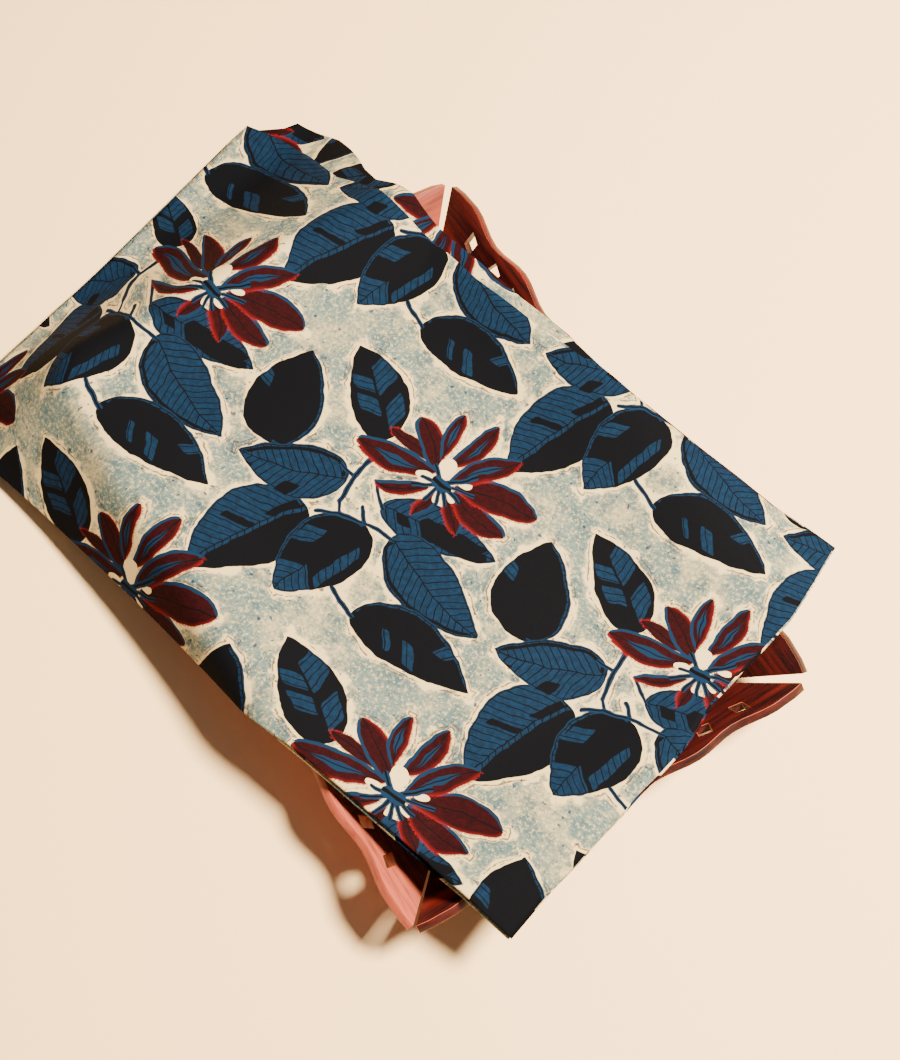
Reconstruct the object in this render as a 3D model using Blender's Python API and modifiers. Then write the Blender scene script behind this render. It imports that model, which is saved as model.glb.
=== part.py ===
# Block-printed silk fabric: one length folded back and forth into four layers,
# laid over a low wooden tray with four flared, wavy-rimmed sides.
# Frame: +X along the folded cloth's long edges, +Y across them, +Z up, in metres.
# The origin is the middle of the tray's underside, on the surface that it stands on.
import math
from collections import namedtuple

import bpy
import bmesh
from mathutils import Matrix, Vector

# Tray, drawn in its own axes, which are turned a little from the cloth's
TRAY_TURN = math.radians(-17.5)
RIM_LENGTH = 0.389
RIM_WIDTH = 0.270
RIM_HEIGHT = 0.050
BOARD_THICKNESS = 0.005
FLARE = math.radians(38.0)
BASE_THICKNESS = 0.006
TOUCHING_GAP = 0.0003
WAVE_DEPTH = 0.0055
WAVE_STEPS = 8
END_CREST = 0.021
TIP_DROP = 0.0035
LONG_WAVES = 6
SHORT_WAVES = 4
SLIT_FOOT = 0.0006
SLIT_FRONT_RIGHT = 0.0010
SLIT_BACK_RIGHT = 0.004
SLIT_BACK_LEFT = 0.003
SLIT_FRONT_LEFT = 0.003
WOOD_COLOR = (0.27, 0.07, 0.04)
WOOD_ROUGHNESS = 0.42
MERGE_DISTANCE = 0.000001

# Cut-outs of the walls: pairs of leaning four-sided holes, each corner as a share of its size
CUT_WIDTH = 0.009
CUT_TALL = 0.0125
CUT_LEAN = 0.0015
CUT_SPREAD = 0.0115
CUT_HEIGHT = 0.047
CUT_FROM_END = 0.053
LONG_CUTS = 7
SHORT_CUTS = 4
CornerRow = namedtuple("CornerRow", "on_top aside up")
CUT_CORNERS = (
    CornerRow(False, -0.35, -0.50),
    CornerRow(False, 0.50, -0.30),
    CornerRow(True, 0.35, 0.50),
    CornerRow(True, -0.50, 0.25),
)

# Rounding of the rim towards its tips, in shares of the last crest and of the drop
TIP_ROUND_PLACE = 0.35
TIP_ROUND_DROP = 0.4

# Cloth: sheet, layers (counted from 0, the lowest) and folded outline
SHEET = 0.001
LAYER_PITCH = 0.0018
TOP_LAYER = 3
SILK_COLOR = (0.30, 0.38, 0.42)
SILK_ROUGHNESS = 0.55
FRONT_EDGE = -0.1408
LOWER_FOLD_PROUD = 0.0012
FREE_EDGE_SHORT = 0.001
FOLD_STEPS = 4
LEFT_END = -0.304
UNDER_LAYER_PROUD = 0.0015
UNDER_CORNER_CUT = 0.025
UNDER_CORNER_FROM = 0.150
UNDER_CORNER_REACH = 0.035

# Cloth: where its own lines lie from the tray's middle, and how it lies over the rim
CLOTH_ALONG = 0.0035
CLOTH_ACROSS = -0.0105
RIM_CLEARANCE = 0.0036
FLOOR_CLEARANCE = 0.0001
CORNER_ROUND = 0.018
RIM_BEND = 0.011
FLOOR_BEND = 0.0424
SAG = 0.007
SAG_REACH = 0.060
EDGE_BLEND = 0.020

# Steepness beyond each side of the rim, at its front or left end and at its other end
SlopeRow = namedtuple("SlopeRow", "at_start at_finish")
SLOPES = {
    "left": SlopeRow(math.radians(46.8), math.radians(27.1)),
    "right": SlopeRow(math.radians(16.0), math.radians(16.0)),
    "front": SlopeRow(math.radians(41.4), math.radians(69.2)),
    "back": SlopeRow(math.radians(13.0), math.radians(13.0)),
}

# Where the two edges on the back side lie, going along the cloth
BackRow = namedtuple("BackRow", "along top under")
BACK_EDGES = (
    BackRow(-0.303, 0.1610, 0.1850),
    BackRow(-0.290, 0.1650, 0.1865),
    BackRow(-0.277, 0.1675, 0.1870),
    BackRow(-0.262, 0.1675, 0.1862),
    BackRow(-0.245, 0.1640, 0.1815),
    BackRow(-0.226, 0.1585, 0.1753),
    BackRow(-0.206, 0.1525, 0.1680),
    BackRow(-0.184, 0.1525, 0.1620),
    BackRow(-0.170, 0.1525, 0.1635),
    BackRow(-0.158, 0.1520, 0.1653),
    BackRow(-0.145, 0.1510, 0.1620),
    BackRow(-0.133, 0.1490, 0.1597),
    BackRow(-0.108, 0.1490, 0.1575),
    BackRow(-0.083, 0.1465, 0.1562),
    BackRow(-0.055, 0.1462, 0.1536),
    BackRow(-0.035, 0.1452, 0.1532),
    BackRow(-0.012, 0.1455, 0.1512),
    BackRow(0.012, 0.1455, 0.1482),
    BackRow(0.036, 0.1446, 0.1470),
    BackRow(0.061, 0.1450, 0.1474),
    BackRow(0.088, 0.1450, 0.1475),
    BackRow(0.115, 0.1460, 0.1484),
    BackRow(0.142, 0.1460, 0.1484),
    BackRow(0.170, 0.1492, 0.1517),
    BackRow(0.190, 0.1505, 0.1530),
)

# Where the right end lies, going across the cloth
EndRow = namedtuple("EndRow", "across end")
RIGHT_END = (
    EndRow(-0.142, 0.1794),
    EndRow(-0.107, 0.1796),
    EndRow(-0.092, 0.1810),
    EndRow(-0.067, 0.1819),
    EndRow(-0.042, 0.1838),
    EndRow(-0.022, 0.1860),
    EndRow(-0.006, 0.1870),
    EndRow(0.012, 0.1864),
    EndRow(0.026, 0.1832),
    EndRow(0.040, 0.1846),
    EndRow(0.054, 0.1850),
    EndRow(0.077, 0.1864),
    EndRow(0.093, 0.1870),
    EndRow(0.109, 0.1854),
    EndRow(0.123, 0.1840),
    EndRow(0.140, 0.1815),
    EndRow(0.155, 0.1798),
)

# How far each layer's right end passes that line, lowest layer first
LAYER_END_STEP = (-0.0006, 0.0004, 0.0010, 0.0)

# Soft troughs, by the middle of each, its turn, half length, half width and depth
TroughRow = namedtuple("TroughRow", "along across turn reach width depth")
TROUGHS = (
    TroughRow(-0.050, 0.082, math.radians(-17.5), 0.110, 0.030, 0.0028),
    TroughRow(0.105, 0.030, math.radians(-62.0), 0.090, 0.034, 0.0016),
    TroughRow(-0.120, -0.020, math.radians(75.0), 0.100, 0.036, -0.0014),
    TroughRow(-0.235, 0.060, math.radians(20.0), 0.070, 0.026, 0.0016),
)

# Grid lines of the sheet, closer together where it bends
ACROSS_LINES = (-0.1335, -0.125, -0.116, -0.107, -0.098, -0.089, -0.080, -0.070, -0.059,
                -0.044, -0.020, 0.006, 0.032, 0.058, 0.082, 0.104, 0.124, 0.142)
FALL_START = -0.142
LAST_LINE = 0.170
PartRow = namedtuple("PartRow", "start finish lines")
ALONG_PARTS = (
    PartRow(LEFT_END, FALL_START, 13),
    PartRow(FALL_START, LAST_LINE, 15),
)
LINE_ROOM = 0.002
SLOPE_STEP = 0.001
SETTLE_TURNS = 3


def smooth(value):
    value = min(1.0, max(0.0, value))
    return value * value * (3.0 - 2.0 * value)


def read_row(rows, place, name):
    # Value of one column of a table, blended between the two rows around a place
    if place <= rows[0][0]:
        return getattr(rows[0], name)
    for low, high in zip(rows, rows[1:]):
        if place <= high[0]:
            share = (place - low[0]) / (high[0] - low[0])
            return getattr(low, name) * (1.0 - share) + getattr(high, name) * share
    return getattr(rows[-1], name)


def to_tray(x, y):
    return (x * math.cos(TRAY_TURN) + y * math.sin(TRAY_TURN),
            -x * math.sin(TRAY_TURN) + y * math.cos(TRAY_TURN))


def from_tray(a, b):
    return (a * math.cos(TRAY_TURN) - b * math.sin(TRAY_TURN),
            a * math.sin(TRAY_TURN) + b * math.cos(TRAY_TURN))


def fall(past_rim, angle, height):
    # Level run and drop of cloth that bends over the rim, slopes, and flattens on the floor
    first_arc = RIM_BEND * angle
    if past_rim < first_arc:
        turn = past_rim / RIM_BEND
        return RIM_BEND * math.sin(turn), RIM_BEND * (1.0 - math.cos(turn))
    run = RIM_BEND * math.sin(angle)
    drop = RIM_BEND * (1.0 - math.cos(angle))
    last_drop = FLOOR_BEND * (1.0 - math.cos(angle))
    straight = (height - drop - last_drop) / math.sin(angle)
    left_over = past_rim - first_arc
    if left_over < straight:
        return run + left_over * math.cos(angle), drop + left_over * math.sin(angle)
    run += straight * math.cos(angle)
    drop += straight * math.sin(angle)
    left_over -= straight
    last_arc = FLOOR_BEND * angle
    if left_over < last_arc:
        turn = angle - left_over / FLOOR_BEND
        return (run + FLOOR_BEND * (math.sin(angle) - math.sin(turn)),
                drop + FLOOR_BEND * (math.cos(turn) - math.cos(angle)))
    return run + FLOOR_BEND * math.sin(angle) + left_over - last_arc, height


def slope_angle(a, b, out_a, out_b):
    # Steepness where the cloth leaves the rim, blended around the corners
    along = 0.5 + 0.5 * min(1.0, max(-1.0, a / (0.5 * RIM_LENGTH)))
    across = 0.5 + 0.5 * min(1.0, max(-1.0, b / (0.5 * RIM_WIDTH)))
    end = SLOPES["left"] if out_a < 0.0 else SLOPES["right"]
    side = SLOPES["front"] if out_b < 0.0 else SLOPES["back"]
    end_angle = end.at_start + (end.at_finish - end.at_start) * across
    side_angle = side.at_start + (side.at_finish - side.at_start) * along
    return end_angle * out_a * out_a + side_angle * out_b * out_b


def trough_depth(s, t):
    depth = 0.0
    for row in TROUGHS:
        ahead = (s - row.along) * math.cos(row.turn) + (t - row.across) * math.sin(row.turn)
        aside = (t - row.across) * math.cos(row.turn) - (s - row.along) * math.sin(row.turn)
        depth += row.depth * math.exp(-(ahead / row.reach) ** 2 - (aside / row.width) ** 2)
    return depth


def lowest_layer(s, t):
    # Middle of the lowest layer, at s along and t across the folded cloth laid flat
    level = RIM_HEIGHT + RIM_CLEARANCE + 0.5 * SHEET
    flat_x, flat_y = s + CLOTH_ALONG, t + CLOTH_ACROSS
    a, b = to_tray(flat_x, flat_y)
    side_a = abs(a) - (0.5 * RIM_LENGTH - CORNER_ROUND)
    side_b = abs(b) - (0.5 * RIM_WIDTH - CORNER_ROUND)
    outside = math.hypot(max(side_a, 0.0), max(side_b, 0.0))
    past_rim = outside + min(max(side_a, side_b), 0.0) - CORNER_ROUND
    if past_rim <= 0.0:
        inside = smooth(-past_rim / SAG_REACH)
        trough = trough_depth(s, t) * smooth(-past_rim / EDGE_BLEND)
        return Vector((flat_x, flat_y, level - SAG * inside - trough))
    if side_a > 0.0 and side_b > 0.0:
        out_a, out_b = side_a / outside, side_b / outside
    elif side_a > side_b:
        out_a, out_b = 1.0, 0.0
    else:
        out_a, out_b = 0.0, 1.0
    out_a = math.copysign(out_a, a)
    out_b = math.copysign(out_b, b)
    angle = slope_angle(a, b, out_a, out_b)
    height = level - 0.5 * SHEET - FLOOR_CLEARANCE
    run, drop = fall(past_rim, angle, height)
    x, y = from_tray(a - out_a * (past_rim - run), b - out_b * (past_rim - run))
    hanging = smooth(past_rim / EDGE_BLEND) * smooth((height - drop) / EDGE_BLEND)
    return Vector((x, y, level - drop - trough_depth(s, t) * hanging))


def layer_point(s, t, height):
    # Point of a layer that lies a height above the lowest one, square to it
    along = lowest_layer(s + SLOPE_STEP, t) - lowest_layer(s - SLOPE_STEP, t)
    across = lowest_layer(s, t + SLOPE_STEP) - lowest_layer(s, t - SLOPE_STEP)
    return lowest_layer(s, t) + along.cross(across).normalized() * height


def left_end(t, layer):
    if layer == TOP_LAYER:
        return LEFT_END
    cut = UNDER_CORNER_CUT * smooth((t - UNDER_CORNER_FROM) / UNDER_CORNER_REACH)
    return LEFT_END - UNDER_LAYER_PROUD + cut


def right_end(t, layer):
    return read_row(RIGHT_END, t, "end") + LAYER_END_STEP[layer]


def fold_stations(lower_layer, edge_of):
    # Half round fold that joins a layer to the one above it
    radius = 0.5 * LAYER_PITCH
    middle = (lower_layer + 0.5) * LAYER_PITCH
    stations = []
    for step in range(FOLD_STEPS + 1):
        turn = -0.5 * math.pi + math.pi * step / FOLD_STEPS
        layer = lower_layer if step <= FOLD_STEPS / 2 else lower_layer + 1
        stations.append((layer, edge_of, radius * (1.0 - math.cos(turn)),
                         middle + radius * math.sin(turn)))
    return stations


def section_stations():
    # One path back and forth through the layers, from the hidden edge up to the top one
    def front_lower(s):
        return FRONT_EDGE - LOWER_FOLD_PROUD

    def front_upper(s):
        return FRONT_EDGE

    def back_fold(s):
        return read_row(BACK_EDGES, s, "under")

    def back_hidden(s):
        return read_row(BACK_EDGES, s, "under") - FREE_EDGE_SHORT

    def back_top(s):
        return read_row(BACK_EDGES, s, "top")

    def level_run(layer, going_forward):
        lines = ACROSS_LINES if not going_forward else tuple(reversed(ACROSS_LINES))
        return [(layer, line, 0.0, layer * LAYER_PITCH) for line in lines]

    path = [(0, back_hidden, 0.0, 0.0), (0, back_top, 0.0, 0.0)]
    path += level_run(0, True)
    path += fold_stations(0, front_lower)
    path += level_run(1, False)
    path.append((1, back_top, 0.0, LAYER_PITCH))
    path += fold_stations(1, back_fold)
    path.append((2, back_top, 0.0, 2 * LAYER_PITCH))
    path += level_run(2, True)
    path += fold_stations(2, front_upper)
    path += level_run(TOP_LAYER, False)
    path.append((TOP_LAYER, back_top, 0.0, TOP_LAYER * LAYER_PITCH))
    return path


def station_across(station, s):
    layer, place, inward, height = station
    if not callable(place):
        return place
    edge = place(s)
    return edge - inward if edge > 0.0 else edge + inward


def along_lines():
    lines = []
    for row in ALONG_PARTS:
        lines += [row.start + (row.finish - row.start) * (number + 1) / row.lines
                  for number in range(row.lines)]
    return lines


def column_along(lines, column, across, layer):
    # The outer columns follow the layer's ends, and the rest keep the same lines in every layer
    start, finish = left_end(across, layer), right_end(across, layer)
    if column == 0:
        return start
    if column > len(lines):
        return finish
    return max(lines[column - 1], start + LINE_ROOM * column)


def new_material(name, color, roughness):
    material = bpy.data.materials.new(name)
    material.use_nodes = True
    surface = material.node_tree.nodes["Principled BSDF"]
    surface.inputs["Base Color"].default_value = (*color, 1.0)
    surface.inputs["Roughness"].default_value = roughness
    surface.inputs["Metallic"].default_value = 0.0
    return material


def add_object(name, mesh, material, collection):
    part = bpy.data.objects.new(name, mesh)
    mesh.materials.append(material)
    collection.objects.link(part)
    return part


def make_cloth(collection):
    # The sheet starts as a flat grid whose points are then moved along its folds
    stations = section_stations()
    lines = along_lines()
    columns = len(lines) + 1
    rows = len(stations) - 1
    grid = bmesh.new()
    bmesh.ops.create_grid(grid, x_segments=columns, y_segments=rows, size=0.5)
    for point in grid.verts:
        column = round((point.co.x + 0.5) * columns)
        row = round((point.co.y + 0.5) * rows)
        station = stations[row]
        layer, height = station[0], station[3]
        # The end of a layer depends on where its edge is, so both are settled in turns
        across = station_across(station, 0.0)
        for settle in range(SETTLE_TURNS):
            along = column_along(lines, column, across, layer)
            across = station_across(station, along)
        point.co = layer_point(along, across, height)
    mesh = bpy.data.meshes.new("folded_cloth")
    grid.to_mesh(mesh)
    grid.free()
    silk = new_material("printed_silk", SILK_COLOR, SILK_ROUGHNESS)
    cloth = add_object("folded_cloth", mesh, silk, collection)
    thicken = cloth.modifiers.new("sheet", "SOLIDIFY")
    thicken.thickness = SHEET
    thicken.offset = 0.0
    thicken.use_even_offset = True
    mesh.shade_smooth()
    return cloth


WallRow = namedtuple("WallRow", "name facing foot_half foot_out waves cuts slits")


def board_outline(foot_half, waves, slit_left, slit_right):
    # Half round the board: foot, slanted ends beside the corner slits, and the wavy rim
    crest = RIM_HEIGHT / math.cos(FLARE)
    foot = -0.5 * BOARD_THICKNESS

    def end_place(up, slit):
        return foot_half + up * math.sin(FLARE) - SLIT_FOOT - (slit - SLIT_FOOT) * max(0.0, up) / crest

    tip = crest - TIP_DROP
    left_tip, right_tip = -end_place(tip, slit_left), end_place(tip, slit_right)
    left_crest, right_crest = left_tip + END_CREST, right_tip - END_CREST
    rounding = TIP_ROUND_PLACE * END_CREST
    shoulder = crest - TIP_ROUND_DROP * TIP_DROP
    rim = [(right_tip, tip), (right_tip - rounding, shoulder)]
    steps = waves * WAVE_STEPS
    for step in range(steps + 1):
        share = step / steps
        dip = 0.5 * WAVE_DEPTH * (1.0 - math.cos(2.0 * math.pi * waves * share))
        rim.append((right_crest + (left_crest - right_crest) * share, crest - dip))
    rim += [(left_tip + rounding, shoulder), (left_tip, tip)]
    return [(-end_place(foot, slit_left), foot), (end_place(foot, slit_right), foot)] + rim


def cut_outlines(foot_half, cuts):
    # Pairs of holes, each pair leaning apart, in one row from near one end of the rim to the other
    outermost = foot_half + RIM_HEIGHT * math.tan(FLARE) - CUT_FROM_END
    outlines = []
    for number in range(cuts):
        middle = outermost * (2.0 * number / (cuts - 1) - 1.0)
        for side in (-1.0, 1.0):
            outlines.append([(middle + side * (CUT_SPREAD + row.on_top * CUT_LEAN) + row.aside * CUT_WIDTH,
                              CUT_HEIGHT + row.up * CUT_TALL) for row in CUT_CORNERS])
    return outlines


def curve_board(name, outlines):
    # A flat outline with its cut-outs, thickened and turned into one closed mesh
    curve = bpy.data.curves.new(name, "CURVE")
    curve.dimensions = "2D"
    curve.fill_mode = "BOTH"
    curve.extrude = 0.5 * BOARD_THICKNESS
    for outline in outlines:
        spline = curve.splines.new("POLY")
        spline.points.add(len(outline) - 1)
        for point, (x, y) in zip(spline.points, outline):
            point.co = (x, y, 0.0, 1.0)
        spline.use_cyclic_u = True
    holder = bpy.data.objects.new(name + "_outline", curve)
    bpy.context.scene.collection.objects.link(holder)
    graph = bpy.context.evaluated_depsgraph_get()
    mesh = bpy.data.meshes.new_from_object(holder.evaluated_get(graph))
    bpy.data.objects.remove(holder)
    mesh.name = name
    return mesh


def make_wall(row, material, collection):
    outlines = [board_outline(row.foot_half, row.waves, *row.slits)]
    outlines += cut_outlines(row.foot_half, row.cuts)
    mesh = curve_board(row.name, outlines)
    out = Vector((math.cos(row.facing), math.sin(row.facing), 0.0))
    along = Vector((-math.sin(row.facing), math.cos(row.facing), 0.0))
    up_slope = out * math.sin(FLARE) + Vector((0.0, 0.0, math.cos(FLARE)))
    through = along.cross(up_slope)
    middle = out * row.foot_out + through * (0.5 * BOARD_THICKNESS)
    place = Matrix((along, up_slope, through)).transposed().to_4x4()
    place.translation = middle
    shape = bmesh.new()
    shape.from_mesh(mesh)
    bmesh.ops.remove_doubles(shape, verts=shape.verts, dist=MERGE_DISTANCE)
    shape.transform(Matrix.Rotation(TRAY_TURN, 4, "Z") @ place)
    # The foot is planed level with the floor
    cut = bmesh.ops.bisect_plane(shape, geom=shape.verts[:] + shape.edges[:] + shape.faces[:],
                                 plane_co=(0.0, 0.0, 0.0), plane_no=(0.0, 0.0, -1.0),
                                 clear_outer=True)
    rim_edges = [item for item in cut["geom_cut"] if isinstance(item, bmesh.types.BMEdge)]
    bmesh.ops.contextual_create(shape, geom=rim_edges)
    bmesh.ops.recalc_face_normals(shape, faces=shape.faces)
    shape.to_mesh(mesh)
    shape.free()
    return add_object(row.name, mesh, material, collection)


def foot_halves():
    # Half length and half width of the walls' inner foot lines
    reach = RIM_HEIGHT * math.tan(FLARE) + BOARD_THICKNESS * math.cos(FLARE)
    return 0.5 * RIM_LENGTH - reach, 0.5 * RIM_WIDTH - reach


def make_base(material, collection):
    # Bottom board, its edges planed to the lean of the walls around it
    half_length, half_width = foot_halves()
    shape = bmesh.new()
    bmesh.ops.create_cube(shape, size=1.0)
    for point in shape.verts:
        z = BASE_THICKNESS if point.co.z > 0.0 else 0.0
        lean = z * math.tan(FLARE) - TOUCHING_GAP / math.cos(FLARE)
        point.co = Vector((math.copysign(half_length + lean, point.co.x),
                           math.copysign(half_width + lean, point.co.y), z))
    shape.transform(Matrix.Rotation(TRAY_TURN, 4, "Z"))
    mesh = bpy.data.meshes.new("tray_base")
    shape.to_mesh(mesh)
    shape.free()
    return add_object("tray_base", mesh, material, collection)


def make_tray(collection):
    wood = new_material("carved_wood", WOOD_COLOR, WOOD_ROUGHNESS)
    half_length, half_width = foot_halves()
    # Each wall faces out along its turn, with the slit widths at its own two ends
    for row in (
        WallRow("tray_wall_right", 0.0, half_width, half_length, SHORT_WAVES, SHORT_CUTS,
                (SLIT_FRONT_RIGHT, SLIT_BACK_RIGHT)),
        WallRow("tray_wall_back", 0.5 * math.pi, half_length, half_width, LONG_WAVES, LONG_CUTS,
                (SLIT_BACK_RIGHT, SLIT_BACK_LEFT)),
        WallRow("tray_wall_left", math.pi, half_width, half_length, SHORT_WAVES, SHORT_CUTS,
                (SLIT_BACK_LEFT, SLIT_FRONT_LEFT)),
        WallRow("tray_wall_front", 1.5 * math.pi, half_length, half_width, LONG_WAVES, LONG_CUTS,
                (SLIT_FRONT_LEFT, SLIT_FRONT_RIGHT)),
    ):
        make_wall(row, wood, collection)
    make_base(wood, collection)


def main():
    for item in list(bpy.data.objects):
        bpy.data.objects.remove(item)
    collection = bpy.data.collections.new("folded_silk_on_tray")
    bpy.context.scene.collection.children.link(collection)
    make_cloth(collection)
    make_tray(collection)


main()
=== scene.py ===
import math

import bmesh
import bpy
from mathutils import Matrix, Vector


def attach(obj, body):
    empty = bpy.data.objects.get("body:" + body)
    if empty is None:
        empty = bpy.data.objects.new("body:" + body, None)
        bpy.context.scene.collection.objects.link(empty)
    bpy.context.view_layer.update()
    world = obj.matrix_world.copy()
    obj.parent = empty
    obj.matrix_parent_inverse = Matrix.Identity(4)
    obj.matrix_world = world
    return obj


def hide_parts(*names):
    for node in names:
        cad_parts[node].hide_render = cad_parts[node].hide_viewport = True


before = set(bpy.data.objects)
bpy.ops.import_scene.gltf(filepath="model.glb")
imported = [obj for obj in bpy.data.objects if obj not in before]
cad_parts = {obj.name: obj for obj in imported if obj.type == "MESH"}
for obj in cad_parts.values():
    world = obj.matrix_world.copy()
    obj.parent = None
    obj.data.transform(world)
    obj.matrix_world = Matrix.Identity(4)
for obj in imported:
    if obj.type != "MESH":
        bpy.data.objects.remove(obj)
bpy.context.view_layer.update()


def tone(red, green, blue):
    # Colour picked as 0 to 255 values on screen, turned into the linear one that nodes use
    values = [channel / 255.0 for channel in (red, green, blue)]
    return tuple(v / 12.92 if v <= 0.04045 else ((v + 0.055) / 1.055) ** 2.4 for v in values) + (1.0,)


# Node helpers

def join(tree, value, socket):
    # A socket is linked, and anything else is set as the value
    if isinstance(value, bpy.types.NodeSocket):
        tree.links.new(value, socket)
    else:
        socket.default_value = value


def calc(tree, operation, *values):
    node = tree.nodes.new("ShaderNodeMath")
    node.operation = operation
    for value, socket in zip(values, node.inputs):
        join(tree, value, socket)
    return node.outputs[0]


def moveVector(tree, operation, first, second):
    node = tree.nodes.new("ShaderNodeVectorMath")
    node.operation = operation
    join(tree, first, node.inputs[0])
    join(tree, second, node.inputs["Scale"] if operation == "SCALE" else node.inputs[1])
    return node.outputs[0]


def blendColors(tree, amount, first, second):
    node = tree.nodes.new("ShaderNodeMix")
    node.data_type = "RGBA"
    join(tree, amount, node.inputs["Factor"])
    join(tree, first, node.inputs["A"])
    join(tree, second, node.inputs["B"])
    return node.outputs["Result"]


def ramp(tree, value, low, high, start=0.0, finish=1.0):
    # Soft step: start below low, finish above high. It ends by itself, and a clamp would take up room
    node = tree.nodes.new("ShaderNodeMapRange")
    node.interpolation_type = "SMOOTHSTEP"
    node.clamp = False
    for name, number in (("From Min", low), ("From Max", high), ("To Min", start), ("To Max", finish)):
        join(tree, number, node.inputs[name])
    join(tree, value, node.inputs["Value"])
    return node.outputs["Result"]


def noise(tree, place, size, detail=2.0, roughness=0.5):
    # Cloudy noise with lumps of about that size in metres
    node = tree.nodes.new("ShaderNodeTexNoise")
    join(tree, place, node.inputs["Vector"])
    node.inputs["Scale"].default_value = 1.0 / size
    node.inputs["Detail"].default_value = detail
    node.inputs["Roughness"].default_value = roughness
    return node.outputs


def addBump(tree, height, look, surface):
    # Relief too fine for the mesh
    bump = tree.nodes.new("ShaderNodeBump")
    bump.inputs["Strength"].default_value = look["bump"]
    bump.inputs["Distance"].default_value = look["bumpDepth"]
    join(tree, height, bump.inputs["Height"])
    join(tree, bump.outputs[0], surface.inputs["Normal"])


def newGroup(name, takes, gives):
    group = bpy.data.node_groups.new(name, "ShaderNodeTree")
    for label, kind in takes:
        group.interface.new_socket(label, in_out="INPUT", socket_type="NodeSocket" + kind)
    for label, kind in gives:
        group.interface.new_socket(label, in_out="OUTPUT", socket_type="NodeSocket" + kind)
    return group, group.nodes.new("NodeGroupInput").outputs, group.nodes.new("NodeGroupOutput").inputs


def useGroup(tree, group, **values):
    node = tree.nodes.new("ShaderNodeGroup")
    node.node_tree = group
    for label, value in values.items():
        join(tree, value, node.inputs[label])
    return node.outputs


# Tray's lie under the cloth, and its rim: the same sizes as the solids have
traySettings = {
    "turn": math.radians(-17.5),
    "rimLength": 0.389,
    "rimWidth": 0.270,
    "rimHeight": 0.050,
    "roundedEdge": 0.0007,
    "edgeSegments": 2,
    "sharpFrom": math.radians(35.0),
    "smoothBelow": math.radians(32.0),
    "flatWithin": math.radians(1.0),
    "mergeWithin": 0.00001,
}

clothSettings = {
    "sheet": 0.00035,
    "solidSheet": 0.001,
    "layerPitch": 0.0018,
    "topLayer": 3,
    "length": 0.488,
    "frontEdge": -0.1408,
    "lowerFoldProud": 0.0012,
    "freeEdgeShort": 0.001,
    "foldSteps": 8,
    "leftEnd": -0.304,
    "underLayerProud": 0.0015,
    "underCornerCut": 0.025,
    "underCornerFrom": 0.150,
    "underCornerReach": 0.035,
    "fromTray": (0.0035, -0.0105),
    "rimClearance": 0.0036,
    "floorClearance": 0.0001,
    "cornerRound": 0.018,
    "rimBend": 0.011,
    "floorBend": 0.0424,
    "sag": 0.007,
    "sagReach": 0.060,
    "edgeBlend": 0.020,
    "columns": 150,
    "topRows": 92,
    "hiddenRows": 40,
}

# Steepness beyond each side of the rim: at its front or left end, and at its other end
clothSlopes = {
    "left": (math.radians(46.8), math.radians(27.1)),
    "right": (math.radians(16.0), math.radians(16.0)),
    "front": (math.radians(41.4), math.radians(69.2)),
    "back": (math.radians(13.0), math.radians(13.0)),
}

# Back side of the cloth: place along it, then where the top edge and the fold under it lie
backEdges = (
    (-0.303, 0.1610, 0.1850), (-0.290, 0.1650, 0.1865), (-0.277, 0.1675, 0.1870), (-0.262, 0.1675, 0.1862),
    (-0.245, 0.1640, 0.1815), (-0.226, 0.1585, 0.1753), (-0.206, 0.1525, 0.1680), (-0.184, 0.1525, 0.1620),
    (-0.170, 0.1525, 0.1635), (-0.158, 0.1520, 0.1653), (-0.145, 0.1510, 0.1620), (-0.133, 0.1490, 0.1597),
    (-0.108, 0.1490, 0.1575), (-0.083, 0.1465, 0.1562), (-0.055, 0.1462, 0.1536), (-0.035, 0.1452, 0.1532),
    (-0.012, 0.1455, 0.1512), (0.012, 0.1455, 0.1482), (0.036, 0.1446, 0.1470), (0.061, 0.1450, 0.1474),
    (0.088, 0.1450, 0.1475), (0.115, 0.1460, 0.1484), (0.142, 0.1460, 0.1484), (0.170, 0.1492, 0.1517),
    (0.190, 0.1505, 0.1530),
)

# Right end of the cloth: place across it, then where the end lies
rightEnds = (
    (-0.142, 0.1794), (-0.107, 0.1796), (-0.092, 0.1810), (-0.067, 0.1819), (-0.042, 0.1838),
    (-0.022, 0.1860), (-0.006, 0.1870), (0.012, 0.1864), (0.026, 0.1832), (0.040, 0.1846),
    (0.054, 0.1850), (0.077, 0.1864), (0.093, 0.1870), (0.109, 0.1854), (0.123, 0.1840),
    (0.140, 0.1815), (0.155, 0.1798),
)

# How much further along each layer ends there, from the lowest up
layerEndStep = (-0.0006, 0.0004, 0.0010, 0.0)

# Soft troughs: along, across, turn, reach, width, depth
troughs = (
    (-0.050, 0.082, math.radians(-17.5), 0.110, 0.030, 0.0028),
    (0.105, 0.030, math.radians(-62.0), 0.090, 0.034, 0.0016),
    (-0.120, -0.020, math.radians(75.0), 0.100, 0.036, -0.0014),
    (-0.235, 0.060, math.radians(20.0), 0.070, 0.026, 0.0016),
)


def smooth(value):
    value = min(1.0, max(0.0, value))
    return value * value * (3.0 - 2.0 * value)


def readRow(rows, place, column):
    if place <= rows[0][0]:
        return rows[0][column]
    for low, high in zip(rows, rows[1:]):
        if place <= high[0]:
            share = (place - low[0]) / (high[0] - low[0])
            return low[column] * (1.0 - share) + high[column] * share
    return rows[-1][column]


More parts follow.
